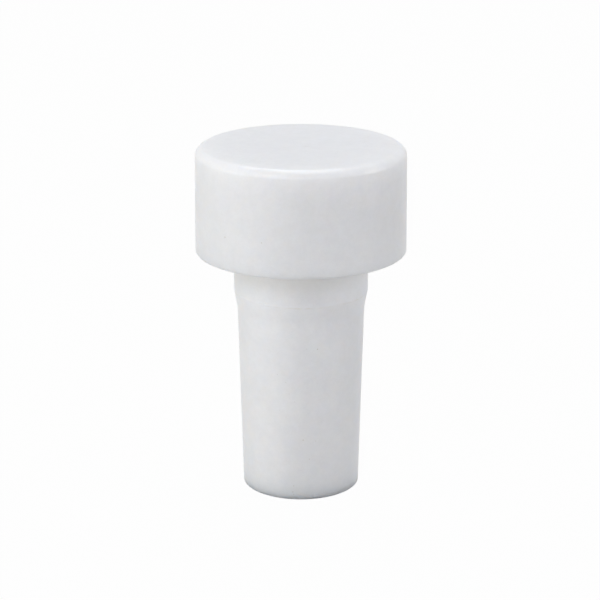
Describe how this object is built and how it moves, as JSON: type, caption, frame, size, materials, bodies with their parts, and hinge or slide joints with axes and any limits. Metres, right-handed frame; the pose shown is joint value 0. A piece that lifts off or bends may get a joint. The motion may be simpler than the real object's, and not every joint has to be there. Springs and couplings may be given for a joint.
{
  "type": "laboratory stopper",
  "caption": "One-piece white rubber stopper: a wide round head with a curved rim, a short sealing collar and a slightly tapered solid plug, for closing a laboratory tube.",
  "frame": {"origin": "centre of the plug's flat free end, on the stopper's axis", "axes": "+Z along the axis, from the plug's free end up to the head; X and Y are free, because the shape is round"},
  "size_m": [0.0252, 0.0252, 0.0421],
  "materials": {
    "silicone_rubber": "satin, faintly cloudy white, as moulded"
  },
  "bodies": {
    "root": {"stopper": "silicone_rubber"}
  },
  "joints": []
}
